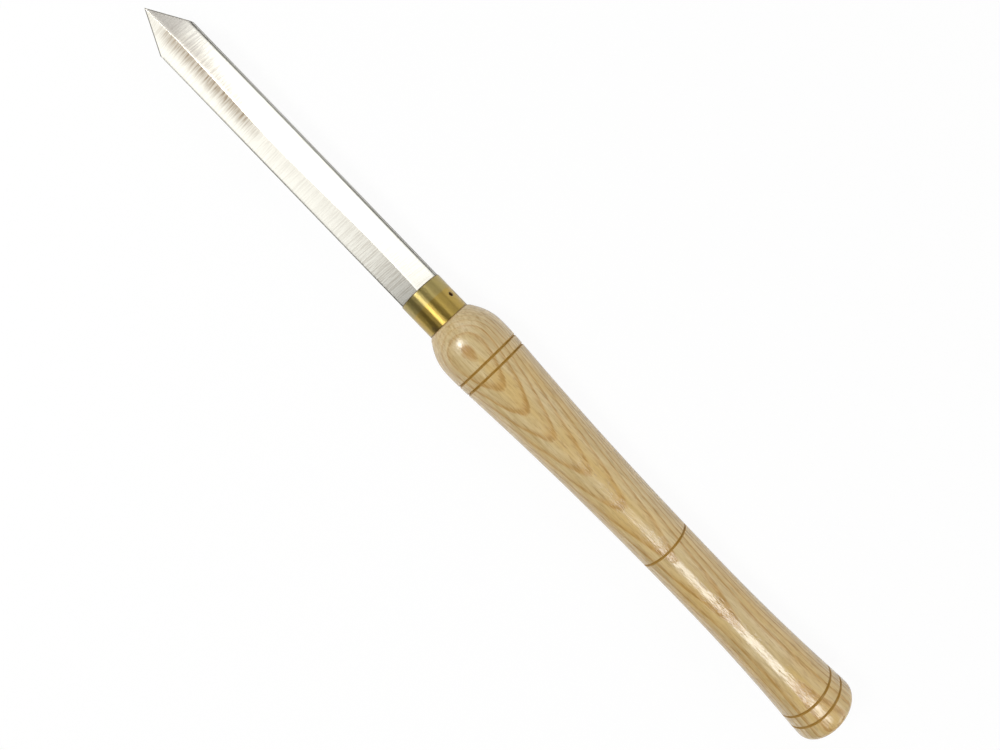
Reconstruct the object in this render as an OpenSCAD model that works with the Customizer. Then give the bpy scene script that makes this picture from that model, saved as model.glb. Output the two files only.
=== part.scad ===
// Diamond parting tool for wood turning: a ground steel bar with a spear point, whose tang is
// bedded in a turned ash handle. A staked brass ferrule binds the handle's nose.
// Sizes are in millimetres. The origin is on the tool's axis, at the handle's shoulder where the
// ferrule seats. +X runs along the axis to the point, and +Z is square to the bar's wide faces.

/* [Blade] */
// Width of the bar between its two narrow edges
bar_width = 20; // [12:0.5:30]
// Thickness of the bar along its ridges
bar_thickness = 5; // [3.5:0.1:8]
// Thickness of the bar at each narrow edge
edge_thickness = 2; // [1.4:0.1:3]
// Radius that eases the corners of the narrow edges
edge_easing = 0.2; // [0.1:0.05:0.7]
// Distance of the ridges from the middle of the bar
ridge_offset = 0.1; // [-2:0.1:2]
// Length of the bar from the ferrule to the point
blade_length = 163.3; // [80:0.1:260]
// Angle between the two bevels at the point
point_angle = 59.5; // [40:0.5:90]
// Radius worn on the heel of one bevel
heel_radius = 2; // [0.5:0.1:6]

/* [Tang] */
// Length of the tang behind the bar's shoulders
tang_length = 70; // [40:1:110]
// Width of the tang at the shoulders
tang_width = 10; // [6:0.5:11]
// Width of the tang at its far end
tang_end_width = 6; // [3:0.5:10]
// Least gap between the tang and its bore, which the bedding fills
bedding_gap = 0.3; // [0.1:0.05:1]
// Depth of the bore beyond the end of the tang
bore_runout = 5; // [2:0.5:20]
// Angle of the cone that the drill leaves at the end of the bore
drill_angle = 118; // [90:1:140]

/* [Ferrule] */
// Outside diameter of the ferrule
ferrule_diameter = 20.4; // [18:0.1:26]
// Wall of the ferrule
ferrule_wall = 1.2; // [0.8:0.1:2]
// Length of the ferrule
ferrule_length = 17.6; // [12:0.1:30]
// Bevel on the ferrule's front rim
rim_bevel = 0.4; // [0.1:0.1:0.7]
// Gap between the ferrule's bore and the tenon
tenon_clearance = 0.05; // [0.02:0.01:0.2]
// Distance of the punch mark from the handle's shoulder
stake_place = 7.4; // [4:0.1:9]
// Angle of the punch mark round the ferrule, from the top
stake_angle = 70; // [0:1:359]
// Diameter of the punch mark's mouth
stake_diameter = 2.4; // [1.5:0.1:3]
// Height of the burr that the punch mark raises in the bore
stake_bite = 0.8; // [0.3:0.1:1.2]

/* [Handle] */
// Length of the handle from its shoulder to its butt
handle_length = 226.5; // [185:0.5:320]
// Height of the wood above the ferrule at the shoulder
nose_step = 0.3; // [0.1:0.1:2]
// Angle at which the wood swells out behind the ferrule
nose_angle = 35; // [10:1:50]
// Diameter of the head at its crest
head_diameter = 32; // [27:0.5:40]
// Distance of the crest from the shoulder
head_setback = 18.3; // [12:0.1:30]
// Diameter of the waist
waist_diameter = 23.8; // [19:0.2:27]
// Distance of the waist from the shoulder
waist_setback = 152; // [100:1:165]
// Diameter of the butt
butt_diameter = 29; // [25:0.2:38]
// Radius of the butt's rim
butt_rounding = 3.2; // [1:0.1:6]

/* [Handle curves] */
// Reach of the curve behind the shoulder, as a share of the way to the crest
nose_reach = 0.44; // [0.2:0.01:0.6]
// Reach of the curve before the crest, as a share of the way from the shoulder
head_front_reach = 0.33; // [0.1:0.01:0.5]
// Reach of the curve behind the crest, as a share of the way to the waist
head_rear_reach = 0.07; // [0.02:0.01:0.4]
// Reach of the curve before the waist, as a share of the way from the crest
waist_front_reach = 0.63; // [0.3:0.01:0.8]
// Reach of the curve behind the waist, as a share of the way to the butt
waist_rear_reach = 0.56; // [0.2:0.01:0.8]
// Reach of the curve before the butt, as a share of the way from the waist
butt_reach = 0.14; // [0.05:0.01:0.4]
// Angle at which the flare runs out at the butt
flare_angle = 1.7; // [0:0.1:6]

/* [Grooves] */
// Width of each burnt groove
groove_width = 1; // [0.5:0.1:2]
// Depth of each burnt groove
groove_depth = 0.45; // [0.2:0.05:0.8]
// Distance of the first head groove behind the crest
head_groove_place = 4.4; // [2:0.1:12]
// Distance between the two head grooves
head_groove_gap = 4.9; // [2:0.1:10]
// Distance of the single groove ahead of the waist
waist_groove_place = 23.4; // [5:0.1:60]
// Distance of the last butt groove from the butt
butt_groove_place = 8.3; // [7:0.1:14]
// Distance between the two butt grooves
butt_groove_gap = 5.7; // [2:0.1:10]

/* [Hidden] */

$fn = 96;
// Amount by which a cutting shape runs past the face that it cuts
cut_over = 1;
// Steps along each drawn curve and round each eased corner
nose_steps = 16;
taper_steps = 28;
flare_steps = 18;
corner_steps = 5;

shoulder_x = ferrule_length;
point_x = shoulder_x + blade_length;
bevel_length = bar_width / 2 / tan(point_angle / 2);
tang_end_x = shoulder_x - tang_length;

// The face of the bar falls from the ridge to the edge by this slope on the side y = +1 or -1
function face_slope(side) = (bar_thickness - edge_thickness) / 2 / (bar_width / 2 - side * ridge_offset);
function face_height(y) = bar_thickness / 2 - abs(y - ridge_offset) * face_slope(y > ridge_offset ? 1 : -1);

tang_corner_left = norm([tang_width / 2, face_height(tang_width / 2)]);
tang_corner_right = norm([tang_width / 2, face_height(-tang_width / 2)]);
tang_end_corner = norm([tang_end_width / 2, bar_thickness / 2]);
bore_radius = max(tang_corner_left, tang_corner_right, tang_end_corner) + bedding_gap;
bore_end_x = tang_end_x - bore_runout;
drill_cone = bore_radius / tan(drill_angle / 2);

ferrule_radius = ferrule_diameter / 2;
ferrule_bore = ferrule_radius - ferrule_wall;
tenon_radius = ferrule_bore - tenon_clearance;

nose_radius = ferrule_radius + nose_step;
head_radius = head_diameter / 2;
waist_radius = waist_diameter / 2;
butt_radius = butt_diameter / 2;
flank_end = handle_length - butt_rounding;
taper_span = waist_setback - head_setback;
flare_span = flank_end - waist_setback;
nose_run = nose_reach * head_setback;
butt_run = butt_reach * flare_span;

// Distances of the grooves behind the shoulder
groove_places = [
    head_setback + head_groove_place,
    head_setback + head_groove_place + head_groove_gap,
    waist_setback - waist_groove_place,
    handle_length - butt_groove_place - butt_groove_gap,
    handle_length - butt_groove_place
];

// Control points of the handle's side, as distance behind the shoulder and radius
nose_curve = [
    [0, nose_radius],
    [nose_run, nose_radius + nose_run * tan(nose_angle)],
    [head_setback * (1 - head_front_reach), head_radius],
    [head_setback, head_radius]
];
taper_curve = [
    [head_setback, head_radius],
    [head_setback + head_rear_reach * taper_span, head_radius],
    [waist_setback - waist_front_reach * taper_span, waist_radius],
    [waist_setback, waist_radius]
];
flare_curve = [
    [waist_setback, waist_radius],
    [waist_setback + waist_rear_reach * flare_span, waist_radius],
    [flank_end - butt_run, butt_radius - butt_run * tan(flare_angle)],
    [flank_end, butt_radius]
];

function bezier(p, t) =
    pow(1 - t, 3) * p[0] + 3 * pow(1 - t, 2) * t * p[1] + 3 * (1 - t) * t * t * p[2] + pow(t, 3) * p[3];
function curve_points(p, steps) = [for (i = [0 : steps - 1]) bezier(p, i / steps)];
function arc_points(centre, radius, from, to, steps) =
    [for (i = [0 : steps]) let (a = from + (to - from) * i / steps) centre + radius * [cos(a), sin(a)]];

handle_side = concat(
    curve_points(nose_curve, nose_steps),
    curve_points(taper_curve, taper_steps),
    curve_points(flare_curve, flare_steps),
    arc_points([flank_end, butt_radius - butt_rounding], butt_rounding, 90, 0, corner_steps)
);
function side_radius(place) = lookup(place, handle_side);

// Corner of the bar's section, eased, at side = +1 or -1 and up = +1 or -1, walked by rising angle
function eased_corner(side, up) =
    let (
        lean = atan(face_slope(side)),
        slant = tan((90 - lean) / 2),
        centre = [bar_width / 2 - edge_easing, edge_thickness / 2 - edge_easing * slant],
        arc = arc_points(centre, edge_easing, 0, 90 - lean, corner_steps),
        placed = [for (p = arc) [side * p[0], up * p[1]]]
    )
    side * up > 0 ? placed : [for (i = [len(placed) - 1 : -1 : 0]) placed[i]];

bar_section = concat(
    eased_corner(1, 1),
    [[ridge_offset, bar_thickness / 2]],
    eased_corner(-1, 1),
    eased_corner(-1, -1),
    [[ridge_offset, -bar_thickness / 2]],
    eased_corner(1, -1)
);

// The worn heel is an arc that meets the bar's edge and the bevel
heel_tangent = heel_radius * tan(point_angle / 4);
heel_centre = [point_x - bevel_length - heel_tangent, heel_radius - bar_width / 2];
worn_heel = arc_points(heel_centre, heel_radius, -90, point_angle / 2 - 90, corner_steps);

blade_plan = concat(
    [[tang_end_x, -tang_end_width / 2], [shoulder_x, -tang_width / 2], [shoulder_x, -bar_width / 2]],
    worn_heel,
    [[point_x, 0], [point_x - bevel_length, bar_width / 2], [shoulder_x, bar_width / 2]],
    [[shoulder_x, tang_width / 2], [tang_end_x, tang_end_width / 2]]
);

// Turns an outline drawn as [radius, distance along the axis] about the tool's axis
module turned() {
    rotate([0, 90, 0]) rotate_extrude() children();
}

module tang_bore() {
    turned() polygon([
        [0, shoulder_x],
        [bore_radius, shoulder_x],
        [bore_radius, bore_end_x],
        [0, bore_end_x - drill_cone]
    ]);
}

// Places its children at the punch mark, with +Z pointing out of the ferrule
module at_stake(radius) {
    rotate([stake_angle, 0, 0]) translate([stake_place, 0, radius]) children();
}

// Burr inside the ferrule: it starts in the wall, so that its base follows the bore
module stake_burr() {
    burr_base = ferrule_wall / 2;
    at_stake(ferrule_bore - stake_bite)
        cylinder(h = stake_bite + burr_base, r1 = 0, r2 = stake_diameter / 2 * (1 + burr_base / stake_bite));
}

// Pit outside the ferrule, whose point ends at the bore
module stake_pit() {
    pit_slope = stake_diameter / 2 / ferrule_wall;
    at_stake(ferrule_bore)
        cylinder(h = ferrule_wall + cut_over, r1 = 0, r2 = pit_slope * (ferrule_wall + cut_over));
}

module blade() {
    color([0.83, 0.84, 0.84])
        intersection() {
            translate([tang_end_x, 0, 0])
                rotate([90, 0, 90])
                linear_extrude(tang_length + blade_length) polygon(bar_section);
            translate([0, 0, -bar_thickness])
                linear_extrude(2 * bar_thickness) polygon(blade_plan);
        }
}

module tang_bedding() {
    color([0.86, 0.78, 0.55])
        difference() {
            tang_bore();
            blade();
        }
}

module ferrule() {
    color([0.80, 0.62, 0.28])
        difference() {
            union() {
                turned() polygon([
                    [ferrule_bore, 0],
                    [ferrule_radius, 0],
                    [ferrule_radius, ferrule_length - rim_bevel],
                    [ferrule_radius - rim_bevel, ferrule_length],
                    [ferrule_bore, ferrule_length]
                ]);
                stake_burr();
            }
            stake_pit();
        }
}

module groove(place) {
    mouth = side_radius(place);
    turned() polygon([
        [mouth - groove_depth, -place],
        [mouth + cut_over, -place - groove_width / 2 * (1 + cut_over / groove_depth)],
        [mouth + cut_over, -place + groove_width / 2 * (1 + cut_over / groove_depth)]
    ]);
}

module handle() {
    color([0.80, 0.68, 0.48])
        difference() {
            turned() polygon(concat(
                [[0, ferrule_length], [tenon_radius, ferrule_length], [tenon_radius, 0]],
                [for (p = handle_side) [p[1], -p[0]]],
                [[0, -handle_length]]
            ));
            for (place = groove_places) groove(place);
            tang_bore();
            stake_burr();
        }
}

blade();
tang_bedding();
ferrule();
handle();
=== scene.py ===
"""Diamond parting tool: a ground steel blade, a staked brass ferrule and a turned, lacquered ash handle."""
import math

import bmesh
import bpy
from bpy.props import FloatProperty, FloatVectorProperty, IntProperty, PointerProperty
from mathutils import Matrix, Vector


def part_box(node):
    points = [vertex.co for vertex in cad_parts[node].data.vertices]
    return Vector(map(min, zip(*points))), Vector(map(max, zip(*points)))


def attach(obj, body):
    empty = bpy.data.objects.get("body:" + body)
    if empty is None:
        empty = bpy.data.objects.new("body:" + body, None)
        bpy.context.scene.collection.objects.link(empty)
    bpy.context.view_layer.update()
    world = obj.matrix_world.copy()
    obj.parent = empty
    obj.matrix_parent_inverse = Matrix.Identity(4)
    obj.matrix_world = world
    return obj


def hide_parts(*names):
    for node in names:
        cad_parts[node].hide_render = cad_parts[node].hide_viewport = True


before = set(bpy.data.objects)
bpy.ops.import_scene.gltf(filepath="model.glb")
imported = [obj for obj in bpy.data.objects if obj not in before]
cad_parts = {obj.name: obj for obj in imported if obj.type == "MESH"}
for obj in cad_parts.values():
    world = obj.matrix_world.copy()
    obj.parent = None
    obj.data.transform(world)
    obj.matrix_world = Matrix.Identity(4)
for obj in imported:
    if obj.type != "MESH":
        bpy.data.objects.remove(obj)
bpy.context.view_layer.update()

bl_info = {
    "name": "Diamond parting tool",
    "version": (1, 0, 0),
    "blender": (4, 5, 0),
    "location": "3D View > Sidebar > Parting tool",
    "description": "Dresses the solid model of a diamond parting tool",
    "category": "Object",
}

MM = 0.001
HANDLE_LOW, HANDLE_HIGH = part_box("handle")
_, FERRULE_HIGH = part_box("ferrule")
BLADE_LOW, BLADE_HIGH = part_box("blade")
BEDDING_LOW, BEDDING_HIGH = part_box("tang_bedding")
FLOOR_HEIGHT = HANDLE_LOW.z

# The photograph: its size, the pixel of the handle's shoulder on the axis, the way the axis runs there (down
# from the right) and the pixels to a metre at the axis. The tool lies there rolled about its axis, so the
# camera and the lamps lean round it by that roll. The eye is the camera's place before it leans.
IMAGE_WIDTH = 1000
IMAGE_HEIGHT = 750
SHOULDER_PIXEL = Vector((449.4, 321.4))
AXIS_TURN = math.radians(46.0)
PIXELS_TO_METRE = 2400
EYE = Vector((-17.8, -32.7, 338.0)) * MM
SENSOR_WIDTH = 36.0
TOOL_ROLL = math.radians(10)
LEAN = Matrix.Rotation(TOOL_ROLL, 4, "X")


def seen_as(red, green, blue):
    """The linear colour of one that is given as a screen shows it, each part from 0 to 255."""
    parts = (part / 255 for part in (red, green, blue))
    return tuple(part / 12.92 if part <= 0.04045 else ((part + 0.055) / 1.055) ** 2.4 for part in parts)


def metres(name, description, default):
    """A setting in metres."""
    return FloatProperty(name=name, description=description, default=default, unit="LENGTH")


def degrees(name, description, default):
    """A setting for an angle, given in degrees."""
    default = math.radians(default)
    return FloatProperty(name=name, description=description, default=default, subtype="ANGLE")


def fraction(name, description, default):
    """A setting for a part of a whole."""
    return FloatProperty(name=name, description=description, default=default, subtype="FACTOR")


def level(name, description, default):
    """A setting for a brightness."""
    return FloatProperty(name=name, description=description, default=default)


def colour(name, description, default):
    """A setting for a linear colour."""
    return FloatVectorProperty(name=name, description=description, default=default, size=3, subtype="COLOR")


class HandleSettings(bpy.types.PropertyGroup):
    """Sizes and colours of the turned ash handle."""
    nose_diameter: metres("Nose diameter", "Across the wood where it meets the ferrule", 21 * MM)
    head_diameter: metres(
        "Head diameter", "Across the round head, the thickest place", HANDLE_HIGH.z - HANDLE_LOW.z)
    head_setback: metres("Head setback", "From the shoulder back to the thickest place", 18.3 * MM)
    waist_diameter: metres("Waist diameter", "Across the thinnest place", 23.8 * MM)
    waist_setback: metres("Waist setback", "From the shoulder back to the thinnest place", 152 * MM)
    butt_diameter: metres("Butt diameter", "Across the flared butt", 29 * MM)
    butt_rounding: metres("Butt rounding", "Radius of the rim round the butt's end", 3.2 * MM)
    tenon_diameter: metres("Tenon diameter", "Across the wood inside the ferrule", 17.9 * MM)
    groove_places: FloatVectorProperty(
        name="Groove places", description="From the shoulder back to the middle of each burnt groove",
        default=(22.7 * MM, 27.6 * MM, 128.6 * MM, 212.5 * MM, 218.2 * MM), size=5, unit="LENGTH")
    groove_width: metres("Groove width", "Across the mouth of a groove", 1.0 * MM)
    groove_depth: metres("Groove depth", "From the wood's surface to the groove's bottom", 0.45 * MM)
    sides: IntProperty(name="Sides", description="Faces round the handle", default=128, min=32, max=256)
    pale_wood: colour("Pale wood", "Palest late wood", seen_as(210, 190, 146))
    tan_wood: colour("Tan wood", "Darker streaks of fibre", seen_as(187, 162, 111))
    warm_wood: colour("Warm wood", "Warmer clouds in the wood", seen_as(205, 172, 104))
    ring_wood: colour("Ring wood", "Early wood along the rings", seen_as(182, 137, 66))
    pore_wood: colour("Pores", "Open pores and dark fibres", seen_as(130, 90, 26))
    # The burnt colour also paints the shade in the gap where the wood meets the ferrule.
    burnt_wood_and_joint_shade: colour("Burnt wood", "Scorched bottom of a groove", seen_as(158, 120, 50))


class FerruleSettings(bpy.types.PropertyGroup):
    """Sizes and colours of the brass ferrule."""
    bore_diameter: metres("Bore", "Inside diameter of the tube", 18 * MM)
    rim_bevel: metres("Rim bevel", "Bevel round the front rim", 0.4 * MM)
    satin_length: metres("Satin band", "Length of the rubbed band at the front", 7.0 * MM)
    mark_place: metres("Punch mark place", "From the shoulder forward to the punch mark", 7.4 * MM)
    mark_turn: degrees("Punch mark turn", "Round the axis from the top to the punch mark", 70)
    mark_diameter: metres("Punch mark diameter", "Across the mark's mouth", 2.4 * MM)
    mark_depth: metres("Punch mark depth", "From the surface to the mark's bottom", 1.2 * MM)
    sides: IntProperty(name="Sides", description="Faces round the ferrule", default=400, min=64, max=512)
    brass: colour("Brass", "Turned brass", seen_as(176, 145, 34))
    satin_brass: colour("Satin brass", "Rubbed front band", seen_as(174, 154, 76))
    old_brass: colour("Old brass", "Duller patches", seen_as(146, 108, 26))
    # Tarnish paints the real stains and also the painted shade at both ends of the ferrule and in the punch
    # mark.
    tarnish_and_shade: colour("Tarnish", "Stains and dirt", seen_as(84, 58, 24))
    # Painted shade in the punch mark.
    painted_pit_shade: colour("Pit dirt", "Dirt packed into the punch mark", seen_as(66, 42, 14))


class BladeSettings(bpy.types.PropertyGroup):
    """Sizes and colours of the ground steel blade, and colours of the bedding round its tang."""
    edge_thickness: metres("Edge thickness", "Thickness at the two narrow edges", 2 * MM)
    edge_easing: metres("Edge easing", "Radius on the corners of the narrow edges", 0.2 * MM)
    ridge_easing: metres("Ridge easing", "Radius along the ridge", 0.3 * MM)
    ridge_offset: metres("Ridge offset", "Mean distance of the ridge from the middle", 0.08 * MM)
    ridge_wander: metres("Ridge wander", "How far the hand-ground ridge strays to either side", 0.55 * MM)
    face_crown: metres(
        "Face crown", "How far each ground face swells in its middle, or dips if below zero", -0.03 * MM)
    point_angle: degrees("Point angle", "Between the two bevels of the point", 59.5)
    worn_heel: metres("Worn heel", "Radius worn on one heel of the point", 2 * MM)
    tang_root: metres("Tang root", "Width of the tang at the shoulder", 10 * MM)
    tang_tip: metres("Tang tip", "Width of the tang at its end", 6 * MM)
    steel: colour("Steel", "Ground steel", seen_as(240, 238, 228))
    # Paints the grind streaks, and also painted shade beside the ridge and near the ferrule.
    grind_lines_and_shade: colour("Grind shade", "Coarser grinding beside the ridge", seen_as(150, 134, 112))
    # Painted shade towards the point on the right face.
    painted_tip_shade: colour(
        "Tip grey", "Finer, greyer grinding towards the point on one face", seen_as(184, 178, 172))
    # Painted shade on the narrow edges and along the bevels of the point.
    painted_edge_shade: colour(
        "Edge grey", "Dull narrow edges and the worn line along the bevels", seen_as(104, 101, 96))
    bedding: colour("Bedding", "Set adhesive round the tang", seen_as(198, 160, 88))
    bedding_cloud: colour("Bedding clouds", "Darker clouds in the adhesive", seen_as(168, 126, 62))
    bedding_bubble: colour("Bedding bubbles", "Pale fine bubbles", seen_as(222, 196, 140))


class StageSettings(bpy.types.PropertyGroup):
    """Floor and light."""
    floor_radius: metres("Floor radius", "From the tool to the wall of the backdrop", 2.6)
    wall_height: metres("Wall height", "Height of the backdrop's wall", 1.0)
    floor_colour: colour("Floor", "Paper floor and backdrop", (0.9, 0.9, 0.9))
    shadow_share: fraction("Shadow", "How much of the floor's own light and shade shows", 0.06)
    mirror_share: fraction(
        "Mirrored white", "How much of the white shows where the floor is mirrored", 0.20)
    right_white: fraction(
        "Right white", "How much more of the white shows where the right wall is mirrored", 0.43)
    left_card: colour("Left card", "Dark card on the left wall, beside the handle", (0.2, 0.2, 0.2))
    room_light: level("Room light", "Brightness of the room round the tool", 0.08)
    side_light: level("Side light", "How much brighter the room is low on the right", 0.62)
    side_growth: level("Side growth", "How many times brighter the right side is towards the butt", 3.0)
    left_light: level("Left light", "How much brighter the room is on the left towards both ends", 0.20)
    end_light: level(
        "End light", "How much brighter the room is beyond the butt, and half that beyond the point", 3.0)


def fill(node, inputs):
    """Fills a node's sockets with values, or joins them to other sockets."""
    for key, value in inputs.items():
        if isinstance(value, bpy.types.NodeSocket):
            node.id_data.links.new(value, node.inputs[key])
        else:
            node.inputs[key].default_value = value


def add_node(tree, kind, inputs=None, **options):
    """Adds a node to a tree, sets its options and fills its sockets."""
    made = tree.nodes.new(kind)
    for name, value in options.items():
        setattr(made, name, value)
    fill(made, inputs or {})
    return made


def calc(operation, *terms, use_clamp=False):
    """The result of a Math node, in the tree that its terms come from."""
    tree = next(term.id_data for term in terms if isinstance(term, bpy.types.NodeSocket))
    made = add_node(tree, "ShaderNodeMath", dict(enumerate(terms)), operation=operation, use_clamp=use_clamp)
    return made.outputs[0]


def plus(first, second):
    """The sum of two terms."""
    return calc("ADD", first, second)


def minus(first, second, use_clamp=False):
    """The first term less the second."""
    return calc("SUBTRACT", first, second, use_clamp=use_clamp)


def times(first, second, use_clamp=False):
    """The product of two terms."""
    return calc("MULTIPLY", first, second, use_clamp=use_clamp)


def scaled(value, factor, start):
    """A value times a factor, counted from a start."""
    return calc("MULTIPLY_ADD", value, factor, start)


def slant_length(first, second):
    """The long side of a right-angled triangle."""
    return calc("SQRT", plus(calc("POWER", first, 2.0), calc("POWER", second, 2.0)))


def ramp(value, start, end, low=0.0, high=1.0):
    """A smooth step from low to high as value goes from start to end."""
    made = add_node(value.id_data, "ShaderNodeMapRange",
                    {0: value, 1: start, 2: end, 3: low, 4: high}, interpolation_type="SMOOTHSTEP")
    return made.outputs[0]


def mix_colour(factor, first, second):
    """Two colours mixed by a factor. A colour that isn't a socket gets full alpha."""
    made = add_node(factor.id_data, "ShaderNodeMix", {0: factor}, data_type="RGBA")
    for key, tone in ((6, first), (7, second)):
        fill(made, {key: tone if isinstance(tone, bpy.types.NodeSocket) else (*tone, 1.0)})
    return made.outputs[2]


def noise(place, along, across, detail=2.0, roughness=0.5):
    """Noise with so many grains to the millimetre along the tool's axis and across it."""
    tree = place.id_data
    mapped = add_node(tree, "ShaderNodeMapping", {"Vector": place, "Scale": (along, across, across)})
    made = add_node(tree, "ShaderNodeTexNoise",
                    {"Vector": mapped.outputs[0], "Scale": 1.0, "Detail": detail, "Roughness": roughness})
    return made.outputs[0]


def split(vector):
    """The three parts of a vector."""
    return add_node(vector.id_data, "ShaderNodeSeparateXYZ", {0: vector}).outputs


def attribute(tree, name):
    """A number that a Geometry Nodes tree has stored on the mesh."""
    return add_node(tree, "ShaderNodeAttribute", attribute_name=name).outputs["Fac"]


def lines_round_axis(tree):
    """The direction round the tool's axis, for a metal that was ground or turned that way."""
    return add_node(tree, "ShaderNodeTangent", direction_type="RADIAL", axis="X").outputs[0]


def new_material(name):
    """An empty material with its shader, and a place in millimetres on the piece."""
    material = bpy.data.materials.new(name)
    material.use_nodes = True
    tree = material.node_tree
    tree.nodes.clear()
    shader = add_node(tree, "ShaderNodeBsdfPrincipled")
    add_node(tree, "ShaderNodeOutputMaterial", {"Surface": shader.outputs[0]})
    spot = add_node(tree, "ShaderNodeTexCoord").outputs["Object"]
    place = add_node(tree, "ShaderNodeVectorMath", {"Vector": spot, "Scale": 1 / MM}, operation="SCALE")
    return material, tree, shader, place.outputs[0]


def bump(height, depth, strength=1.0):
    """A normal from a height that runs from 0 to 1 over a depth in metres."""
    inputs = {"Strength": strength, "Distance": depth, "Height": height}
    return add_node(height.id_data, "ShaderNodeBump", inputs).outputs[0]


# The tree's pith runs beside the handle, in millimetres: its place at the shoulder and its lean along the
# tool. The rings drift slowly and tremble finely about their round shape. Rings and pores fade towards the
# shoulder.
PITH_Y = 0.3
PITH_Z = -30.6
PITH_LEAN_Y = -0.0238
PITH_LEAN_Z = -0.0406
RING_WIDTH = 1.4
RING_START = 42.98
RING_DRIFT = 1.1
RING_TREMBLE = 0.30
SHOULDER_FADE = (-14.0, -3.0)


def ash_material(settings):
    """Lacquered ash: rings round a distant pith, rows of pores, fibre, scorched grooves and a clear coat."""
    material, tree, shader, place = new_material("lacquered_ash")
    x, y, z = split(place)
    growth = slant_length(minus(y, scaled(x, PITH_LEAN_Y, PITH_Y)), minus(z, scaled(x, PITH_LEAN_Z, PITH_Z)))
    drift = noise(place, 0.02, 0.12, detail=1.0)
    tremble = noise(place, 0.07, 0.5, detail=3.0, roughness=0.6)
    growth = scaled(minus(drift, 0.5), RING_DRIFT, growth)
    growth = scaled(minus(tremble, 0.5), RING_TREMBLE, growth)
    ring = calc("DIVIDE", minus(growth, RING_START), RING_WIDTH)
    number = calc("FLOOR", ring)
    year = minus(ring, number)
    vigour = add_node(tree, "ShaderNodeTexWhiteNoise", {"W": number}, noise_dimensions="1D").outputs["Value"]
    vigour = scaled(vigour, 0.30, 0.72)
    line = times(ramp(year, 0.0, 0.10), ramp(year, 0.12, 0.42, 1.0, 0.0))
    fade = ramp(year, 0.05, 0.85, 1.0, 0.0)
    early = plus(times(line, 0.54), times(fade, 0.36))
    early = times(early, times(vigour, ramp(x, *SHOULDER_FADE, 1.0, 0.45)))
    fibre = noise(place, 0.030, 0.55, detail=4.0, roughness=0.7)
    strand = noise(place, 0.11, 1.3, detail=3.0, roughness=0.65)
    dash = noise(place, 0.20, 1.7, roughness=0.6)
    cloud = noise(place, 0.025, 0.09)
    pores = ramp(scaled(early, 0.20, dash), 0.55, 0.74)
    pores = times(pores, ramp(x, *SHOULDER_FADE, 1.0, 0.5))
    streak = ramp(fibre, 0.30, 0.70)
    tone = mix_colour(streak, settings.pale_wood, settings.tan_wood)
    orange = times(ramp(cloud, 0.42, 0.66), 0.60)
    tone = mix_colour(orange, tone, settings.warm_wood)
    grain = times(early, ramp(strand, 0.25, 0.65, 0.55, 1.0))
    tone = mix_colour(grain, tone, settings.ring_wood)
    dark_strand = times(ramp(strand, 0.47, 0.70), 0.28)
    tone = mix_colour(dark_strand, tone, settings.pore_wood)
    tone = mix_colour(times(pores, 0.34), tone, settings.pore_wood)
    scorch = ramp(noise(place, 0.5, 0.35, detail=3.0), 0.25, 0.65, 0.78, 1.0)
    burnt = times(ramp(attribute(tree, "groove"), 0.36, 0.50), scorch)
    # Painted shade: a thin band of the burnt colour at the shoulder, in the gap between the wood and the
    # ferrule.
    joint_shade = ramp(calc("ABSOLUTE", x), 0.15, 0.55, 0.75, 0.0)
    tone = mix_colour(calc("MAXIMUM", burnt, joint_shade), tone, settings.burnt_wood_and_joint_shade)
    relief = minus(times(strand, 0.6), pores)
    fill(shader, {
        "Base Color": tone,
        "Roughness": scaled(fibre, 0.16, 0.40),
        "Normal": bump(relief, 0.03 * MM),
        "Specular IOR Level": 0.1,
        "Coat Weight": scaled(burnt, -0.8, 1.0),
        "Coat Roughness": 0.17,
        "Coat IOR": 1.62,
        "Coat Normal": bump(relief, 0.034 * MM),
    })
    return material


# A dark smudge on the ferrule beside its rear end, as a place on the tube in millimetres.
SMUDGE_PLACE = (0.6, 4.0, 9.4)


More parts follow.
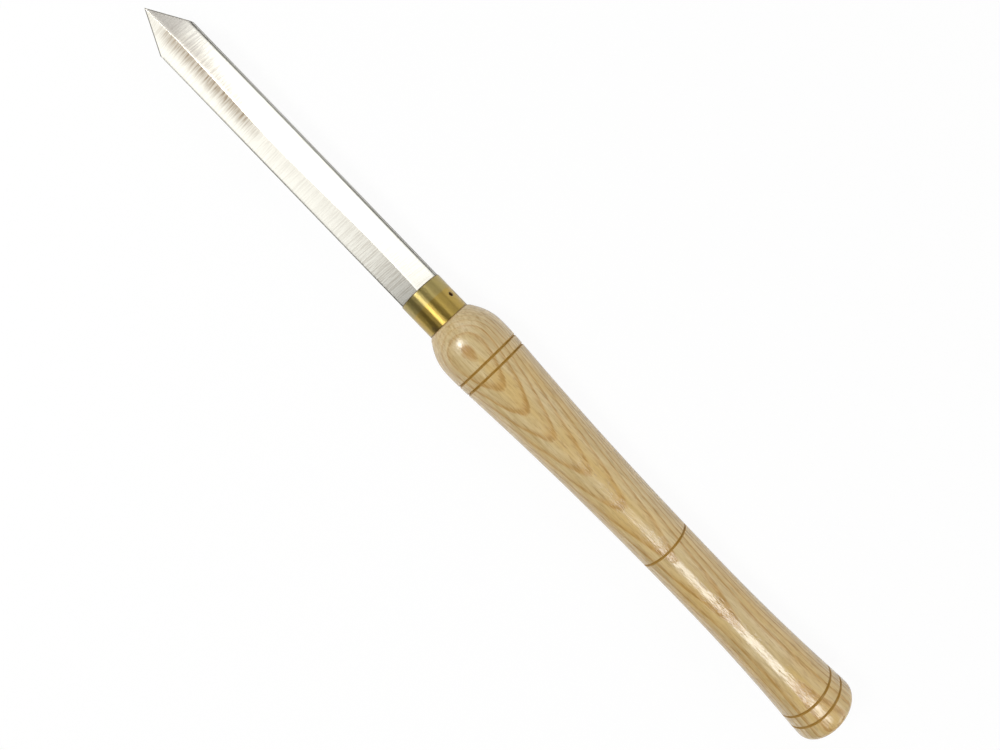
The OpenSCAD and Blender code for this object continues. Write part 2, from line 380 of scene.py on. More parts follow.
def brass_material(settings):
    """Turned brass: fine lines round the tube, a rubbed front band, stains, painted shade in the punch mark.
    """
    material, tree, shader, place = new_material("turned_brass")
    x, _, _ = split(place)
    lines = noise(place, 7.0, 0.05, detail=3.0, roughness=0.7)
    mottle = noise(place, 0.30, 0.30, detail=4.0, roughness=0.6)
    blotch = noise(place, 0.55, 0.30, detail=3.0, roughness=0.6)
    front = FERRULE_HIGH.x / MM
    band_start = front - settings.satin_length / MM
    wavy_x = scaled(mottle, 0.7, x)
    satin = ramp(wavy_x, band_start + 0.1, band_start + 0.8)
    tone = mix_colour(satin, settings.brass, settings.satin_brass)
    patches = times(ramp(mottle, 0.45, 0.75), 0.30)
    tone = mix_colour(patches, tone, settings.old_brass)
    # Painted shade: a blotchy dark band at the rear end against the wood and a thin dark line round the
    # front rim. They take the tarnish colour, as the smudge, a real stain, does.
    rear = times(ramp(x, 0.05, 0.5, 1.0, 0.0), ramp(blotch, 0.30, 0.60, 0.45, 1.0))
    rim = ramp(x, front - 0.55, front - 0.25)
    smudge = add_node(tree, "ShaderNodeVectorMath", {0: place, 1: SMUDGE_PLACE}, operation="DISTANCE")
    smudge = scaled(minus(blotch, 0.5), 3.0, smudge.outputs["Value"])
    stain_and_rim_shade = calc("MAXIMUM", ramp(smudge, 0.6, 2.6, 0.6, 0.0), calc("MAXIMUM", rear, rim))
    # Painted shade: the punch mark is darkened to the pit colour and made dull, standing in for the shade in
    # the dent.
    pit = ramp(attribute(tree, "pit"), 0.0, 0.25)
    dirt_and_shade = calc("MAXIMUM", times(stain_and_rim_shade, 0.8), pit)
    tone = mix_colour(dirt_and_shade, tone, settings.tarnish_and_shade)
    tone = mix_colour(pit, tone, settings.painted_pit_shade)
    rough = scaled(satin, 0.10, 0.28)
    rough = scaled(lines, 0.05, rough)
    rough = scaled(dirt_and_shade, 0.25, rough)
    fill(shader, {
        "Base Color": tone,
        "Metallic": scaled(pit, -0.9, 0.9),
        "Roughness": rough,
        "IOR": 8.0,
        "Normal": bump(lines, 0.0008 * MM),
        "Specular IOR Level": scaled(pit, -0.5, 0.5),
        "Anisotropic": 1.0,
        "Anisotropic Rotation": 0.25,
        "Tangent": lines_round_axis(tree),
        "Coat Weight": scaled(pit, -0.25, 0.25),
        "Coat Roughness": 0.12,
    })
    return material


# The hand-ground ridge wanders along the bar in a long wave. The grinding lines slant across the faces, in
# millimetres along the bar to each millimetre across it, and chatter marks follow each other at a pitch.
WANDER_LENGTH = 112.5 * MM
WANDER_CREST = 102.5 * MM
GRIND_SLANT = -0.09
CHATTER_PITCH = 1.95


def steel_material(settings):
    """Ground steel: slanted lines over the faces; painted shade beside the ridge, near the ferrule and at
    the point; rougher narrow edges with painted shade.
    """
    material, tree, shader, place = new_material("ground_steel")
    x, y, z = split(place)
    slanted = scaled(y, GRIND_SLANT, x)
    lines = add_node(tree, "ShaderNodeCombineXYZ", {0: slanted, 1: y, 2: z}).outputs[0]
    coarse = noise(lines, 0.55, 0.05, roughness=0.6)
    medium = noise(lines, 1.1, 0.06, roughness=0.6)
    fine = noise(lines, 2.2, 0.07, roughness=0.6)
    fine_lines = ramp(fine, 0.42, 0.62)
    half_width = BLADE_HIGH.y / MM
    half_angle = settings.point_angle / 2
    shoulder = FERRULE_HIGH.x / MM
    reach = (BLADE_HIGH.x - FERRULE_HIGH.x) / MM
    before_point = minus(BLADE_HIGH.x / MM, x)
    aside = calc("ABSOLUTE", y)

    turn = scaled(x, math.tau * MM / WANDER_LENGTH, -math.tau * WANDER_CREST / WANDER_LENGTH)
    ridge = scaled(calc("COSINE", turn), settings.ridge_wander / MM, settings.ridge_offset / MM)
    taper = times(before_point, math.tan(half_angle) / half_width, use_clamp=True)
    across = minus(y, times(ridge, taper))
    left_of_ridge = times(ramp(across, 0.0, 0.2), ramp(across, 1.0, 8.0, 1.0, 0.0))
    right_face = ramp(across, -0.2, 0.0, 1.0, 0.0)
    right_of_ridge = times(right_face, ramp(across, -7.0, -0.5, 0.0, 0.5))
    beside_ridge = plus(left_of_ridge, right_of_ridge)

    phase = calc("FRACT", scaled(coarse, 2.2, calc("DIVIDE", slanted, CHATTER_PITCH)))
    chatter = times(ramp(phase, 0.0, 0.18), ramp(phase, 0.22, 0.52, 1.0, 0.0))
    chatter = times(chatter, ramp(coarse, 0.30, 0.60, 0.35, 1.0))
    streaks = calc("MAXIMUM", chatter, ramp(fine, 0.50, 0.66, 0.0, 0.6))
    towards_point = ramp(x, shoulder + 0.54 * reach, shoulder + 0.65 * reach, 0.12, 1.0)
    streak_and_shade_reach = times(towards_point, ramp(before_point, 7.0, 18.0, 0.2, 1.0))
    # Painted shade beside the ridge: an even darkening to the grind colour, with the chatter and grind
    # streaks over it.
    streaks_and_ridge_shade = times(scaled(streaks, 0.46, 0.58), times(beside_ridge, streak_and_shade_reach))
    # Painted shade near the ferrule: the fine grind lines are darkened there, most on the left face.
    lines_and_shade_near_ferrule = ramp(x, shoulder + 20.0, shoulder + 50.0, 0.30, 0.10)
    lines_and_shade_near_ferrule = times(lines_and_shade_near_ferrule, ramp(across, -0.2, 0.1, 0.3, 1.0))
    shade = scaled(fine_lines, lines_and_shade_near_ferrule, streaks_and_ridge_shade)
    tone = mix_colour(shade, settings.steel, settings.grind_lines_and_shade)

    # Painted shade: the right face greys towards the point, streaked by the fine grind lines.
    tip = ramp(scaled(aside, 2.9, before_point), 30.0, 72.0, 0.72, 0.0)
    tip = times(tip, ramp(fine, 0.42, 0.62, 0.15, 1.0))
    tip = calc("MAXIMUM", tip, ramp(before_point, 13.0, 24.0, 0.6, 0.0))
    tone = mix_colour(times(tip, right_face), tone, settings.painted_tip_shade)
    # Painted shade: the narrow edges below their top, and a thin line along each bevel, take the dark edge
    # colour. The edges are also rougher.
    edge = ramp(aside, half_width - 0.06, half_width - 0.02)
    edge = times(edge, ramp(z, 0.55, 0.80, 1.0, 0.0))
    inwards = minus(times(before_point, math.sin(half_angle)), times(aside, math.cos(half_angle)))
    edge = calc("MAXIMUM", edge, ramp(inwards, 0.30, 0.55, 0.9, 0.0))
    tone = mix_colour(edge, tone, settings.painted_edge_shade)
    relief = plus(times(medium, 0.25), times(fine, 0.75))
    fill(shader, {
        "Base Color": tone,
        "Metallic": 1.0,
        "Roughness": scaled(edge, 0.15, scaled(medium, 0.06, 0.16)),
        "Normal": bump(relief, 0.004 * MM),
        "Anisotropic": 0.6,
        "Anisotropic Rotation": 0.25,
        "Tangent": lines_round_axis(tree),
    })
    return material


def bedding_material(settings):
    """Set amber adhesive, slightly cloudy, with fine bubbles."""
    material, tree, shader, place = new_material("amber_bedding")
    cloud = noise(place, 0.35, 0.35, detail=3.0)
    bubbles = add_node(tree, "ShaderNodeTexVoronoi", {"Vector": place, "Scale": 1.1}).outputs[0]
    clouds = ramp(cloud, 0.3, 0.7)
    tone = mix_colour(clouds, settings.bedding, settings.bedding_cloud)
    tone = mix_colour(ramp(bubbles, 0.12, 0.2, 0.5, 0.0), tone, settings.bedding_bubble)
    fill(shader, {
        "Base Color": tone,
        "Roughness": scaled(cloud, 0.25, 0.25),
        "Normal": bump(ramp(bubbles, 0.05, 0.25), 0.05 * MM),
    })
    return material


def new_tree(name, inputs):
    """An empty Geometry Nodes tree with named inputs, and its input node's sockets."""
    tree = bpy.data.node_groups.new(name, "GeometryNodeTree")
    tree.interface.new_socket("Geometry", in_out="INPUT", socket_type="NodeSocketGeometry")
    for label, kind in inputs:
        tree.interface.new_socket(label, in_out="INPUT", socket_type="NodeSocket" + kind)
    tree.interface.new_socket("Geometry", in_out="OUTPUT", socket_type="NodeSocketGeometry")
    return tree, tree.nodes.new("NodeGroupInput").outputs


def close_tree(tree, geometry, material):
    """Ends a tree in Realize Instances and Set Material."""
    real = add_node(tree, "GeometryNodeRealizeInstances", {0: geometry})
    dressed = add_node(tree, "GeometryNodeSetMaterial", {"Geometry": real.outputs[0], "Material": material})
    add_node(tree, "NodeGroupOutput", {0: dressed.outputs[0]})


def store(tree, geometry, name, value):
    """Stores a number on the points of a mesh, for its material."""
    made = add_node(tree, "GeometryNodeStoreNamedAttribute",
                    {"Geometry": geometry, "Name": name, "Value": value}, data_type="FLOAT", domain="POINT")
    return made.outputs[0]


# Points of the lathe's mesh that lie closer than this are one point.
SEAM_GAP = 0.002 * MM


def lathe_tree():
    """Turns a line of points (place along the axis in x, radius in z) about the axis, and cuts V grooves."""
    tree, given = new_tree("turned_on_a_lathe", (
        ("Sides", "Int"), ("Groove Width", "Float"), ("Groove Depth", "Float"),
        ("Crease", "Float"), ("Material", "Material")))
    line = given["Geometry"]
    count = add_node(tree, "GeometryNodeAttributeDomainSize", {0: line}).outputs["Point Count"]
    columns = plus(given["Sides"], 1)
    grid = add_node(tree, "GeometryNodeMeshGrid", {"Vertices X": count, "Vertices Y": columns})
    index = tree.nodes.new("GeometryNodeInputIndex").outputs[0]
    row = calc("FLOOR", calc("DIVIDE", plus(index, 0.5), columns))
    column = minus(index, times(row, columns))
    spot = tree.nodes.new("GeometryNodeInputPosition").outputs[0]
    point = add_node(tree, "GeometryNodeSampleIndex", {"Geometry": line, "Value": spot, "Index": row},
                     data_type="FLOAT_VECTOR")
    gap = add_node(tree, "GeometryNodeInputNamedAttribute", {"Name": "groove_gap"}, data_type="FLOAT")
    away = add_node(tree, "GeometryNodeSampleIndex",
                    {"Geometry": line, "Value": gap.outputs[0], "Index": row}, data_type="FLOAT").outputs[0]
    half = times(given["Groove Width"], 0.5)
    cut = minus(1.0, calc("DIVIDE", away, half), use_clamp=True)
    burn = minus(1.0, calc("DIVIDE", away, given["Groove Width"]), use_clamp=True)
    x, _, radius = split(point.outputs[0])
    radius = minus(radius, times(cut, given["Groove Depth"]))
    angle = times(calc("DIVIDE", column, given["Sides"]), math.tau)
    side = times(radius, calc("SINE", angle))
    height = times(radius, calc("COSINE", angle))
    turned = add_node(tree, "ShaderNodeCombineXYZ", {0: x, 1: times(side, -1.0), 2: height})
    shaped = add_node(tree, "GeometryNodeSetPosition",
                      {"Geometry": grid.outputs[0], "Position": turned.outputs[0]})
    marked = store(tree, shaped.outputs[0], "groove", burn)
    joined = add_node(tree, "GeometryNodeMergeByDistance", {"Geometry": marked, "Distance": SEAM_GAP})
    smooth = add_node(tree, "GeometryNodeSetShadeSmooth",
                      {"Geometry": joined.outputs[0], "Shade Smooth": True}, domain="FACE")
    bend = tree.nodes.new("GeometryNodeInputMeshEdgeAngle").outputs[0]
    sharp = add_node(tree, "FunctionNodeCompare", {"A": bend, "B": given["Crease"]}, data_type="FLOAT",
                     operation="GREATER_THAN")
    creased = add_node(tree, "GeometryNodeSetShadeSmooth",
                       {"Geometry": smooth.outputs[0], "Selection": sharp.outputs[0], "Shade Smooth": False},
                       domain="EDGE")
    close_tree(tree, creased.outputs[0], given["Material"])
    return tree


def punch_tree():
    """Pushes a conical punch mark into a tube about the X axis."""
    tree, given = new_tree("punch_mark", (
        ("Place", "Float"), ("Turn", "Float"), ("Tube Radius", "Float"), ("Diameter", "Float"),
        ("Depth", "Float"), ("Material", "Material")))
    spot = tree.nodes.new("GeometryNodeInputPosition").outputs[0]
    x, y, z = split(spot)
    turn = calc("ARCTAN2", times(y, -1.0), z)
    arc = times(minus(turn, given["Turn"]), given["Tube Radius"])
    reach = slant_length(arc, minus(x, given["Place"]))
    share = calc("DIVIDE", reach, times(given["Diameter"], 0.5))
    cone = minus(1.0, share, use_clamp=True)
    push = times(times(cone, given["Depth"]), -1.0)
    outward = add_node(tree, "ShaderNodeCombineXYZ", {1: y, 2: z})
    outward = add_node(tree, "ShaderNodeVectorMath", {0: outward.outputs[0]}, operation="NORMALIZE")
    shift = add_node(tree, "ShaderNodeVectorMath", {"Vector": outward.outputs[0], "Scale": push},
                     operation="SCALE")
    pressed = add_node(tree, "GeometryNodeSetPosition",
                       {"Geometry": given["Geometry"], "Offset": shift.outputs[0]})
    close_tree(tree, store(tree, pressed.outputs[0], "pit", cone), given["Material"])
    return tree


def add_nodes(piece, tree, **values):
    """Puts a tree on a piece, with its named inputs filled by their identifiers."""
    modifier = piece.modifiers.new(tree.name, "NODES")
    modifier.node_group = tree
    for item in tree.interface.items_tree:
        key = item.name.lower().replace(" ", "_")
        if item.in_out == "INPUT" and key in values:
            modifier[item.identifier] = values[key]


def bake_mesh(piece):
    """Turns what a piece's modifiers make into its own plain mesh."""
    bpy.context.view_layer.update()
    depsgraph = bpy.context.evaluated_depsgraph_get()
    made = bpy.data.meshes.new_from_object(piece.evaluated_get(depsgraph))
    piece.modifiers.clear()
    piece.data = made
    made.name = piece.name
    if not made.polygons:
        raise RuntimeError(piece.name + " came out empty")


def new_object(name, mesh):
    """An object at the origin, in the scene."""
    made = bpy.data.objects.new(name, mesh)
    bpy.context.scene.collection.objects.link(made)
    return made


# The gap for points that have no groove near them.
FAR_FROM_GROOVES = 1.0


def profile_object(name, points, gaps=None):
    """A line of (place, radius) points for the lathe, each with its distance from the nearest groove."""
    mesh = bpy.data.meshes.new(name + "_profile")
    edges = [(number, number + 1) for number in range(len(points) - 1)]
    mesh.from_pydata([(place, 0.0, radius) for place, radius in points], edges, [])
    spacing = mesh.attributes.new("groove_gap", "FLOAT", "POINT")
    spacing.data.foreach_set("value", gaps or [FAR_FROM_GROOVES] * len(points))
    return new_object(name, mesh)


def finish_piece(piece, body, slot, *nodes):
    """Hangs a piece on the empty of the body it rides on and hides the solids it stands for. The slot is not
    used.
    """
    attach(piece, body)
    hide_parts(*nodes)


def bezier(start, pull_a, pull_b, end, share):
    """A point of a cubic curve, as (place, radius)."""
    rest = 1 - share
    weights = (rest ** 3, 3 * rest ** 2 * share, 3 * rest * share ** 2, share ** 3)
    return tuple(sum(w * point[axis] for w, point in zip(weights, (start, pull_a, pull_b, end)))
                 for axis in (0, 1))


# How far the pulls of the handle's three curves reach from their ends, as shares of each curve's run, and
# how high the pulls beside the nose and the butt stand, as shares of each curve's rise.
NOSE_REACH = 0.44
NOSE_RISE = 1.025
HEAD_FRONT_REACH = 0.33
HEAD_REAR_REACH = 0.07
WAIST_FRONT_REACH = 0.63
WAIST_REAR_REACH = 0.56
BUTT_REACH = 0.14
BUTT_RISE = 0.887
CURVE_STEPS = 400

# The lathe's lines: places on a groove in groove widths from its middle, the wood's easing beside the
# ferrule, half the angle of the drill's point, and the bend from which an edge looks sharp.
GROOVE_STEPS = (-1.1, -0.62, -0.5, -0.25, 0, 0.25, 0.5, 0.62, 1.1)
WOOD_EASING = 0.3 * MM
HALF_DRILL_POINT = math.radians(59)
TURNED_CREASE = math.radians(30)


def handle_side(settings):
    """The handle's side as a fine line of (setback, radius), from the shoulder to the butt's rim."""
    nose = settings.nose_diameter / 2
    head = settings.head_diameter / 2
    waist = settings.waist_diameter / 2
    butt = settings.butt_diameter / 2
    head_at = settings.head_setback
    waist_at = settings.waist_setback
    rim_at = -HANDLE_LOW.x - settings.butt_rounding
    taper = waist_at - head_at
    flare = rim_at - waist_at
    curves = (
        ((0, nose), (NOSE_REACH * head_at, nose + NOSE_RISE * (head - nose)),
         ((1 - HEAD_FRONT_REACH) * head_at, head), (head_at, head)),
        ((head_at, head), (head_at + HEAD_REAR_REACH * taper, head),
         (waist_at - WAIST_FRONT_REACH * taper, waist), (waist_at, waist)),
        ((waist_at, waist), (waist_at + WAIST_REAR_REACH * flare, waist),
         (rim_at - BUTT_REACH * flare, waist + BUTT_RISE * (butt - waist)), (rim_at, butt)),
    )
    return [bezier(*curve, step / CURVE_STEPS) for curve in curves for step in range(CURVE_STEPS + 1)]


def radius_at(side, setback):
    """The side's radius at a setback, read off between its nearest points."""
    for (before, first), (after, second) in zip(side, side[1:]):
        if before <= setback <= after and after > before:
            return first + (second - first) * (setback - before) / (after - before)
    return side[-1][1]


def even(start, end, step):
    """Evenly spaced numbers from start to end, about a step apart."""
    count = max(1, round((end - start) / step))
    return [start + (end - start) * number / count for number in range(count + 1)]


def arc_points(centre, radius, first, last, count):
    """Points of an arc in the (place, radius) plane, angles from the outward direction to the rear."""
    angles = even(first, last, (last - first) / count)
    return [(centre[0] - radius * math.sin(a), centre[1] + radius * math.cos(a)) for a in angles]


class PARTING_OT_handle(bpy.types.Operator):
    """Turns the ash handle and cuts and burns its grooves"""
    bl_idname = "parting.handle"
    bl_label = "Handle"

    def execute(self, context):
        settings = context.scene.parting_handle
        points = self.inside(settings) + self.outside(settings)
        widest_bore = BEDDING_HIGH.z + WOOD_EASING
        gaps = [min(abs(-x - middle) for middle in settings.groove_places)
                if radius > widest_bore else FAR_FROM_GROOVES for x, radius in points]
        handle = profile_object("ash_handle", points, gaps)
        add_nodes(handle, lathe_tree(), sides=settings.sides, groove_width=settings.groove_width,
                  groove_depth=settings.groove_depth, crease=TURNED_CREASE, material=ash_material(settings))
        bake_mesh(handle)
        finish_piece(handle, "root", "ash", "handle")
        return {"FINISHED"}

    def inside(self, settings):
        """The line from the bore's bottom out to the front, over the tenon and up the shoulder."""
        bore = BEDDING_HIGH.z
        bore_start = BEDDING_LOW.x + bore / math.tan(HALF_DRILL_POINT)
        bore_step = 8 * MM
        front = HANDLE_HIGH.x
        tenon = settings.tenon_diameter / 2
        points = [(BEDDING_LOW.x, 0.0)]
        points += [(x, bore) for x in even(bore_start, front, bore_step)]
        points += [(front, tenon - WOOD_EASING), (front - WOOD_EASING, tenon)]
        points += [(0.0, tenon), (0.0, settings.nose_diameter / 2 - WOOD_EASING)]
        return points

    def outside(self, settings):
        """The line from the nose back over the head, the grooves and the rim to the middle of the butt."""
        side = handle_side(settings)
        rim_at = side[-1][0]
        width = settings.groove_width
        head_step = 0.9 * MM
        taper_step = 2.2 * MM
        places = set(even(0.0, settings.head_setback, head_step))
        places |= set(even(settings.head_setback, rim_at, taper_step))
        for middle in settings.groove_places:
            places = {place for place in places if abs(place - middle) > GROOVE_STEPS[-1] * width}
            places |= {middle + step * width for step in GROOVE_STEPS}
        points = [(-setback, radius_at(side, setback)) for setback in sorted(places)][1:]
        rounding = settings.butt_rounding
        flat = settings.butt_diameter / 2 - rounding
        points += arc_points((-rim_at, flat), rounding, 0.0, math.pi / 2, 8)[1:]
        points += [(HANDLE_LOW.x, flat * share) for share in (0.66, 0.33, 0.0)]
        return points


class PARTING_OT_ferrule(bpy.types.Operator):
    """Turns the brass ferrule and stakes it with a punch mark"""
    bl_idname = "parting.ferrule"
    bl_label = "Ferrule"

    def execute(self, context):
        settings = context.scene.parting_ferrule
        outer = FERRULE_HIGH.z
        bore = settings.bore_diameter / 2
        front = FERRULE_HIGH.x
        bevel = settings.rim_bevel
        rear_easing = 0.15 * MM
        bore_easing = 0.1 * MM
        plain_step = 0.6 * MM
        mark_step = 0.16 * MM
        mark_rear = settings.mark_place - settings.mark_diameter
        mark_front = settings.mark_place + settings.mark_diameter
        steps = even(rear_easing, mark_rear, plain_step)
        steps += even(mark_rear, mark_front, mark_step)[1:]
        steps += even(mark_front, front - bevel, plain_step)[1:]
        points = [(0.0, outer - rear_easing), (0.0, bore)]
        points += [(x, bore) for x in steps]
        points += [(front, bore + bore_easing), (front, outer - bevel)]
        points += [(front - bevel * 0.3, outer - bevel * 0.3)]
        points += [(x, outer) for x in reversed(steps)]
        points += [(0.0, outer - rear_easing)]
        ferrule = profile_object("brass_ferrule", points)
        brass = brass_material(settings)
        add_nodes(ferrule, lathe_tree(), sides=settings.sides, groove_width=MM, groove_depth=0.0,
                  crease=TURNED_CREASE, material=brass)
        add_nodes(ferrule, punch_tree(), place=settings.mark_place, turn=settings.mark_turn,
                  tube_radius=outer, diameter=settings.mark_diameter, depth=settings.mark_depth,
                  material=brass)
        bake_mesh(ferrule)
        finish_piece(ferrule, "root", "brass", "ferrule")
        return {"FINISHED"}


def rounded(previous, corner, following, radius, count):
    """The points of a corner rounded to a radius, between its two neighbours."""
    towards = (Vector(previous) - Vector(corner)).normalized()
    onwards = (Vector(following) - Vector(corner)).normalized()
    half = math.acos(max(-1.0, min(1.0, towards.dot(onwards)))) / 2
    centre = Vector(corner) + (towards + onwards).normalized() * (radius / math.sin(half))
    start = Vector(corner) + towards * (radius / math.tan(half)) - centre
    end = Vector(corner) + onwards * (radius / math.tan(half)) - centre
    sweep = start.angle_signed(end)
    turned = []
    for number in range(count + 1):
        angle = sweep * number / count
        turned.append(centre + Vector((start.x * math.cos(angle) + start.y * math.sin(angle),
                                       start.y * math.cos(angle) - start.x * math.sin(angle))))
    return turned


# The corners of the bar's section, counted from the upper right edge: two of them are the ridges, and after
# two of them comes a narrow edge, which stays flat. Each ground face is cut into strips, and an edge that
# bends more than the crease looks sharp.
RIDGES = (1, 4)
BEFORE_EDGES = (2, 5)
FACE_STRIPS = 8
GROUND_CREASE = math.radians(20)


def bar_section(settings, ridge):
    """The bar's cross-section as (y, z) points: two ground faces above, two below, and eased edges."""
    half_width = BLADE_HIGH.y
    half_thick = BLADE_HIGH.z
    half_edge = settings.edge_thickness / 2
    corners = [(-half_width, half_edge), (ridge, half_thick), (half_width, half_edge),
               (half_width, -half_edge), (ridge, -half_thick), (-half_width, -half_edge)]
    section = []
    for number, corner in enumerate(corners):
        before = corners[number - 1]
        after = corners[(number + 1) % len(corners)]
        radius, count = (settings.ridge_easing, 3) if number in RIDGES else (settings.edge_easing, 4)
        section.append(rounded(before, corner, after, radius, count))
    points = []
    for number, turned in enumerate(section):
        points += turned
        if number in BEFORE_EDGES:
            continue
        following = section[(number + 1) % len(section)][0]
        upwards = 1 if number < 2 else -1
        for step in range(1, FACE_STRIPS):
            share = step / FACE_STRIPS
            swell = settings.face_crown * 4 * share * (1 - share) * upwards
            points.append(turned[-1].lerp(following, share) + Vector((0, swell)))
    return points


def mesh_from(made, name):
    """The plain mesh of what was built."""
    mesh = bpy.data.meshes.new(name)
    made.to_mesh(mesh)
    made.free()
    return mesh


def loft(name, sections):
    """A closed mesh through rings of points, with flat ends."""
    made = bmesh.new()
    rings = [[made.verts.new(point) for point in section] for section in sections]
    for first, second in zip(rings, rings[1:]):
        for number in range(len(first)):
            after = (number + 1) % len(first)
            made.faces.new((first[number], first[after], second[after], second[number]))
    made.faces.new(list(reversed(rings[0])))
    made.faces.new(rings[-1])
    bmesh.ops.recalc_face_normals(made, faces=made.faces)
    return new_object(name, mesh_from(made, name))


class PARTING_OT_blade(bpy.types.Operator):
    """Grinds the blade's bar, its point and its tang"""
    bl_idname = "parting.blade"
    bl_label = "Blade"

    def execute(self, context):
        settings = context.scene.parting_blade
        heel = BLADE_HIGH.x - BLADE_HIGH.y / math.tan(settings.point_angle / 2)
        blade = self.bar(settings, heel)
        plan = self.plan(settings, heel)
        shape = blade.modifiers.new("outline", "BOOLEAN")
        shape.operation = "INTERSECT"
        shape.solver = "EXACT"
        shape.object = plan
        bake_mesh(blade)
        bpy.data.objects.remove(plan)
        blade.data.materials.clear()
        blade.data.materials.append(steel_material(settings))
        blade.data.shade_smooth()
        blade.data.set_sharp_from_angle(angle=GROUND_CREASE)
        finish_piece(blade, "root", "steel", "blade")
        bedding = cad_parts["tang_bedding"]
        bedding.data.materials.clear()
        bedding.data.materials.append(bedding_material(settings))
        return {"FINISHED"}

    def bar(self, settings, heel):
        """The ground bar, longer than the blade at both ends, with its wandering ridge."""
        spare = 5 * MM
        point_at = BLADE_HIGH.x
        sections = []
        for x in even(BLADE_LOW.x - spare, point_at + spare, 3 * MM):
            wave = math.cos(math.tau * (x - WANDER_CREST) / WANDER_LENGTH)
            ridge = settings.ridge_offset + settings.ridge_wander * wave
            towards_point = max(0.0, min(1.0, (x - heel) / (point_at - heel)))
            ridge *= 1 - towards_point
            sections.append([(x, y, z) for y, z in bar_section(settings, ridge)])
        return loft("steel_blade", sections)

    def plan(self, settings, heel):
        """A tall block with the blade's outline from above: point, worn heel, shoulders and tang."""
        point_at = BLADE_HIGH.x
        half_width = BLADE_HIGH.y
        shoulder = FERRULE_HIGH.x
        wide = half_width + 0.2 * MM
        wide_heel = point_at - wide / math.tan(settings.point_angle / 2)
        root = settings.tang_root / 2
        tip = settings.tang_tip / 2
        worn = rounded((point_at, 0), (heel, -half_width), (shoulder, -half_width), settings.worn_heel, 6)
        outline = [(point_at, 0), (wide_heel, wide), (shoulder, wide), (shoulder, root), (BLADE_LOW.x, tip),
                   (BLADE_LOW.x, -tip), (shoulder, -root), (shoulder, -half_width)]
        outline += [tuple(spot) for spot in reversed(worn)]
        height = 4 * MM
        return loft("plan", [[(x, y, z) for x, y in outline] for z in (-height, height)])


def paper_material(settings):
    """Paper: nearly white to the camera, greyer when mirrored, with a bright right and a dark left wall."""
    material = bpy.data.materials.new("white_paper")
    material.use_nodes = True
    tree = material.node_tree
    tree.nodes.clear()
    rays = tree.nodes.new("ShaderNodeLightPath").outputs
    place = add_node(tree, "ShaderNodeTexCoord").outputs["Object"]
    x, y, z = split(place)
    wall = ramp(z, FLOOR_HEIGHT + 0.02, FLOOR_HEIGHT + 0.25)
    left = times(ramp(y, 0.6, 1.4), ramp(x, 0.3, 0.8, 1.0, 0.0))
    left = times(wall, left)
    right = times(wall, ramp(y, -1.4, -0.6, 1.0, 0.0))
    white_share = scaled(right, settings.right_white, settings.mirror_share)
    white_share = times(white_share, minus(1.0, left))
    mirrored = calc("MAXIMUM", rays["Is Glossy Ray"], rays["Is Transmission Ray"])
    mirrored = times(mirrored, white_share)
    share = times(rays["Is Camera Ray"], 1 - settings.shadow_share)
    share = calc("MAXIMUM", share, mirrored)
    tooth = add_node(tree, "ShaderNodeTexNoise", {"Vector": place, "Scale": 900.0, "Detail": 2.0}).outputs[0]
    tone = mix_colour(left, settings.floor_colour, settings.left_card)
    relief = bump(tooth, 0.02 * MM, 0.2)
    paper = add_node(tree, "ShaderNodeBsdfDiffuse", {"Color": tone, "Normal": relief})
    white = add_node(tree, "ShaderNodeEmission", {"Color": (1, 1, 1, 1), "Strength": 1.0})
    mixed = add_node(tree, "ShaderNodeMixShader", {0: share, 1: paper.outputs[0], 2: white.outputs[0]})
    add_node(tree, "ShaderNodeOutputMaterial", {"Surface": mixed.outputs[0]})
    return material


# The tint of the two bright lamps, and the power to the square metre of a lamp as bright as white paper.
WARM = (1, 1, 0.98)
POWER_OF_WHITE = 4


def add_panel(name, place, size, brightness, tint=(1, 1, 1), shape="RECTANGLE"):
    """A soft lamp over the tool, so many times as bright as white paper. It leans as the camera does."""
    lamp = bpy.data.lights.new(name, "AREA")
    lamp.shape = shape
    lamp.size, lamp.size_y = size
    fullness = math.pi / 4 if shape == "ELLIPSE" else 1
    lamp.energy = POWER_OF_WHITE * brightness * fullness * size[0] * size[1]
    lamp.color = tint
    made = new_object(name, lamp)
    made.matrix_world = LEAN @ Matrix.Translation(place)
    made.visible_camera = False


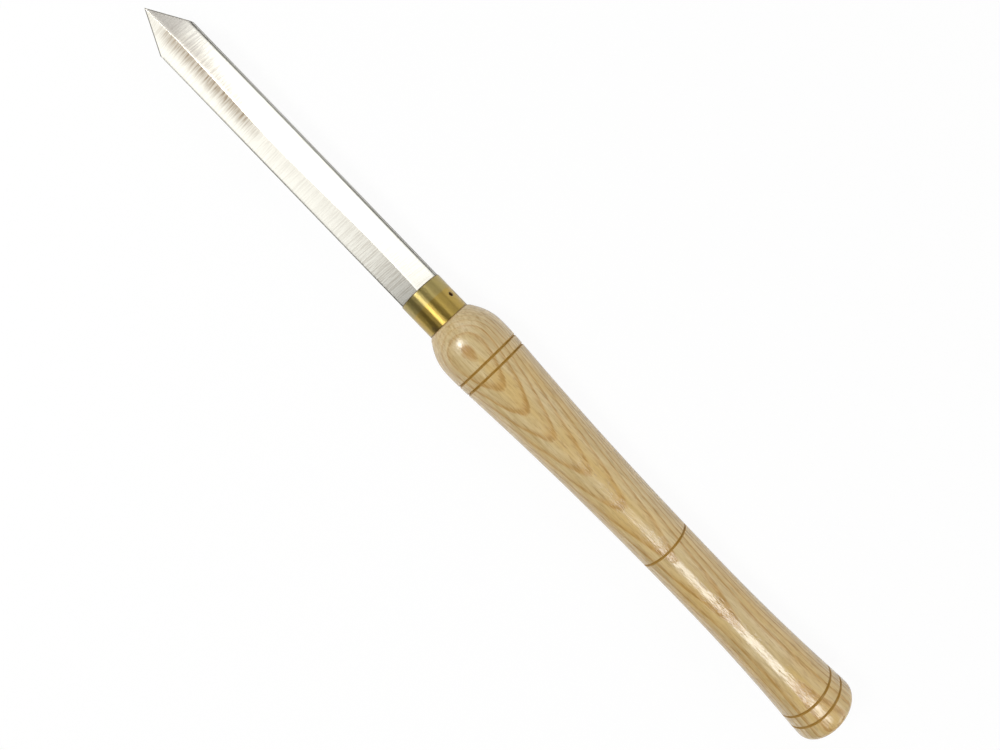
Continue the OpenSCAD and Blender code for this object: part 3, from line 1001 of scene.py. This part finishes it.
class PARTING_OT_stage(bpy.types.Operator):
    """Sets up the floor, the lamps and the camera"""
    bl_idname = "parting.stage"
    bl_label = "Stage"

    def execute(self, context):
        settings = context.scene.parting_stage
        self.add_floor(settings)
        self.add_room(context.scene, settings)
        self.add_lamps()
        self.add_camera(context.scene)
        context.scene.view_settings.view_transform = "Standard"
        return {"FINISHED"}

    def add_floor(self, settings):
        """A paper floor that curves up into a low wall all round."""
        reach = settings.floor_radius
        sweep = 0.35 * reach
        sides = 96
        profile = [(0.25 * reach, 0.0), (reach - sweep, 0.0)]
        profile += [(reach - sweep + sweep * math.sin(a), sweep * (1 - math.cos(a)))
                    for a in even(0.0, math.pi / 2, math.pi / 16)[1:]]
        profile += [(reach, settings.wall_height)]
        turns = [math.tau * number / sides for number in range(sides)]
        made = bmesh.new()
        rings = [[made.verts.new((radius * math.cos(turn), radius * math.sin(turn), FLOOR_HEIGHT + height))
                  for turn in turns] for radius, height in profile]
        made.faces.new(rings[0])
        for inner, outer in zip(rings, rings[1:]):
            for number in range(sides):
                after = (number + 1) % sides
                made.faces.new((inner[number], outer[number], outer[after], inner[after]))
        mesh = mesh_from(made, "paper_floor")
        mesh.shade_smooth()
        mesh.materials.append(paper_material(settings))
        new_object("paper_floor", mesh)

    def add_room(self, scene, settings):
        """A dim room round the tool, brighter low on the right, on the left and beyond the two ends."""
        world = bpy.data.worlds.new("studio")
        world.use_nodes = True
        tree = world.node_tree
        way = add_node(tree, "ShaderNodeTexCoord").outputs["Generated"]
        way = add_node(tree, "ShaderNodeMapping", {"Vector": way, "Rotation": (-TOOL_ROLL, 0, 0)}).outputs[0]
        x, y, _ = split(way)
        aslant = calc("SQRT", minus(1.0001, calc("POWER", x, 2.0)))
        turned = calc("DIVIDE", y, aslant)
        right = ramp(turned, -0.58, -0.46, settings.side_light, 0.0)
        right = times(right, ramp(x, -0.60, -0.25, settings.side_growth, 1.0))
        behind = ramp(x, -0.75, -0.50, settings.end_light, 0.0)
        ahead = ramp(x, 0.50, 0.75, 0.0, settings.end_light / 2)
        ends = times(plus(behind, ahead), ramp(turned, -0.45, 0.05, 1.0, 0.0))
        left = ramp(calc("ABSOLUTE", x), 0.25, 0.45, 0.0, settings.left_light)
        left = times(left, ramp(turned, -0.1, 0.3))
        strength = plus(plus(right, ends), plus(left, settings.room_light))
        fill(tree.nodes["Background"], {"Color": (1, 1, 1, 1), "Strength": strength})
        scene.world = world

    def add_lamps(self):
        """Two broad panels for the blade, a round lamp ahead of the ferrule and a strip by the butt."""
        add_panel("main_panel", (0.42, 0.33, 1.1), (0.72, 0.58), 1.06)
        add_panel("left_panel", (0.72, 1.06, 1.1), (1.02, 0.56), 0.88)
        add_panel("spot_lamp", (0.52, 0.42, 1.0), (0.44, 0.44), 9.6, WARM, "ELLIPSE")
        add_panel("strip_lamp", (-0.64, 0.22, 1.1), (0.28, 0.58), 7.6, WARM)

    def add_camera(self, scene):
        """A camera straight above, rolled and placed so that the tool's axis lies as in the photograph."""
        along = Vector((math.cos(AXIS_TURN), math.sin(AXIS_TURN)))
        across = Vector((-along.y, along.x))
        below = SHOULDER_PIXEL + (across * EYE.y - along * EYE.x) * PIXELS_TO_METRE
        lens = bpy.data.cameras.new("photo_camera")
        lens.sensor_width = SENSOR_WIDTH
        lens.lens = SENSOR_WIDTH * EYE.z * PIXELS_TO_METRE / IMAGE_WIDTH
        lens.shift_x = (IMAGE_WIDTH / 2 - below.x) / IMAGE_WIDTH
        lens.shift_y = (below.y - IMAGE_HEIGHT / 2) / IMAGE_WIDTH
        lens.clip_start = 10 * MM
        camera = new_object("photo_camera", lens)
        turned = Matrix.Rotation(math.pi + AXIS_TURN, 4, "Z")
        camera.matrix_world = LEAN @ Matrix.Translation(EYE) @ turned
        scene.camera = camera


GROUPS = (
    ("parting_handle", HandleSettings, "parting.handle"),
    ("parting_ferrule", FerruleSettings, "parting.ferrule"),
    ("parting_blade", BladeSettings, "parting.blade"),
    ("parting_stage", StageSettings, "parting.stage"),
)


class PARTING_PT_tool(bpy.types.Panel):
    """Lists the tool's pieces and their sizes"""
    bl_idname = "PARTING_PT_tool"
    bl_label = "Diamond parting tool"
    bl_space_type = "VIEW_3D"
    bl_region_type = "UI"
    bl_category = "Parting tool"

    def draw(self, context):
        for pointer, group, operator in GROUPS:
            box = self.layout.box()
            box.operator(operator)
            for name in group.__annotations__:
                box.prop(getattr(context.scene, pointer), name)


CLASSES = (HandleSettings, FerruleSettings, BladeSettings, StageSettings, PARTING_OT_handle,
           PARTING_OT_ferrule, PARTING_OT_blade, PARTING_OT_stage, PARTING_PT_tool)


def register():
    """Registers the classes and hangs their settings on the scene."""
    for made in CLASSES:
        bpy.utils.register_class(made)
    for pointer, group, _ in GROUPS:
        setattr(bpy.types.Scene, pointer, PointerProperty(type=group))


def unregister():
    """Takes the settings and classes away again."""
    for pointer, _, _ in GROUPS:
        delattr(bpy.types.Scene, pointer)
    for made in reversed(CLASSES):
        bpy.utils.unregister_class(made)


def main():
    """Builds the tool and its stage."""
    register()
    bpy.ops.parting.stage()
    bpy.ops.parting.blade()
    bpy.ops.parting.ferrule()
    bpy.ops.parting.handle()


if __name__ == "__main__":
    main()
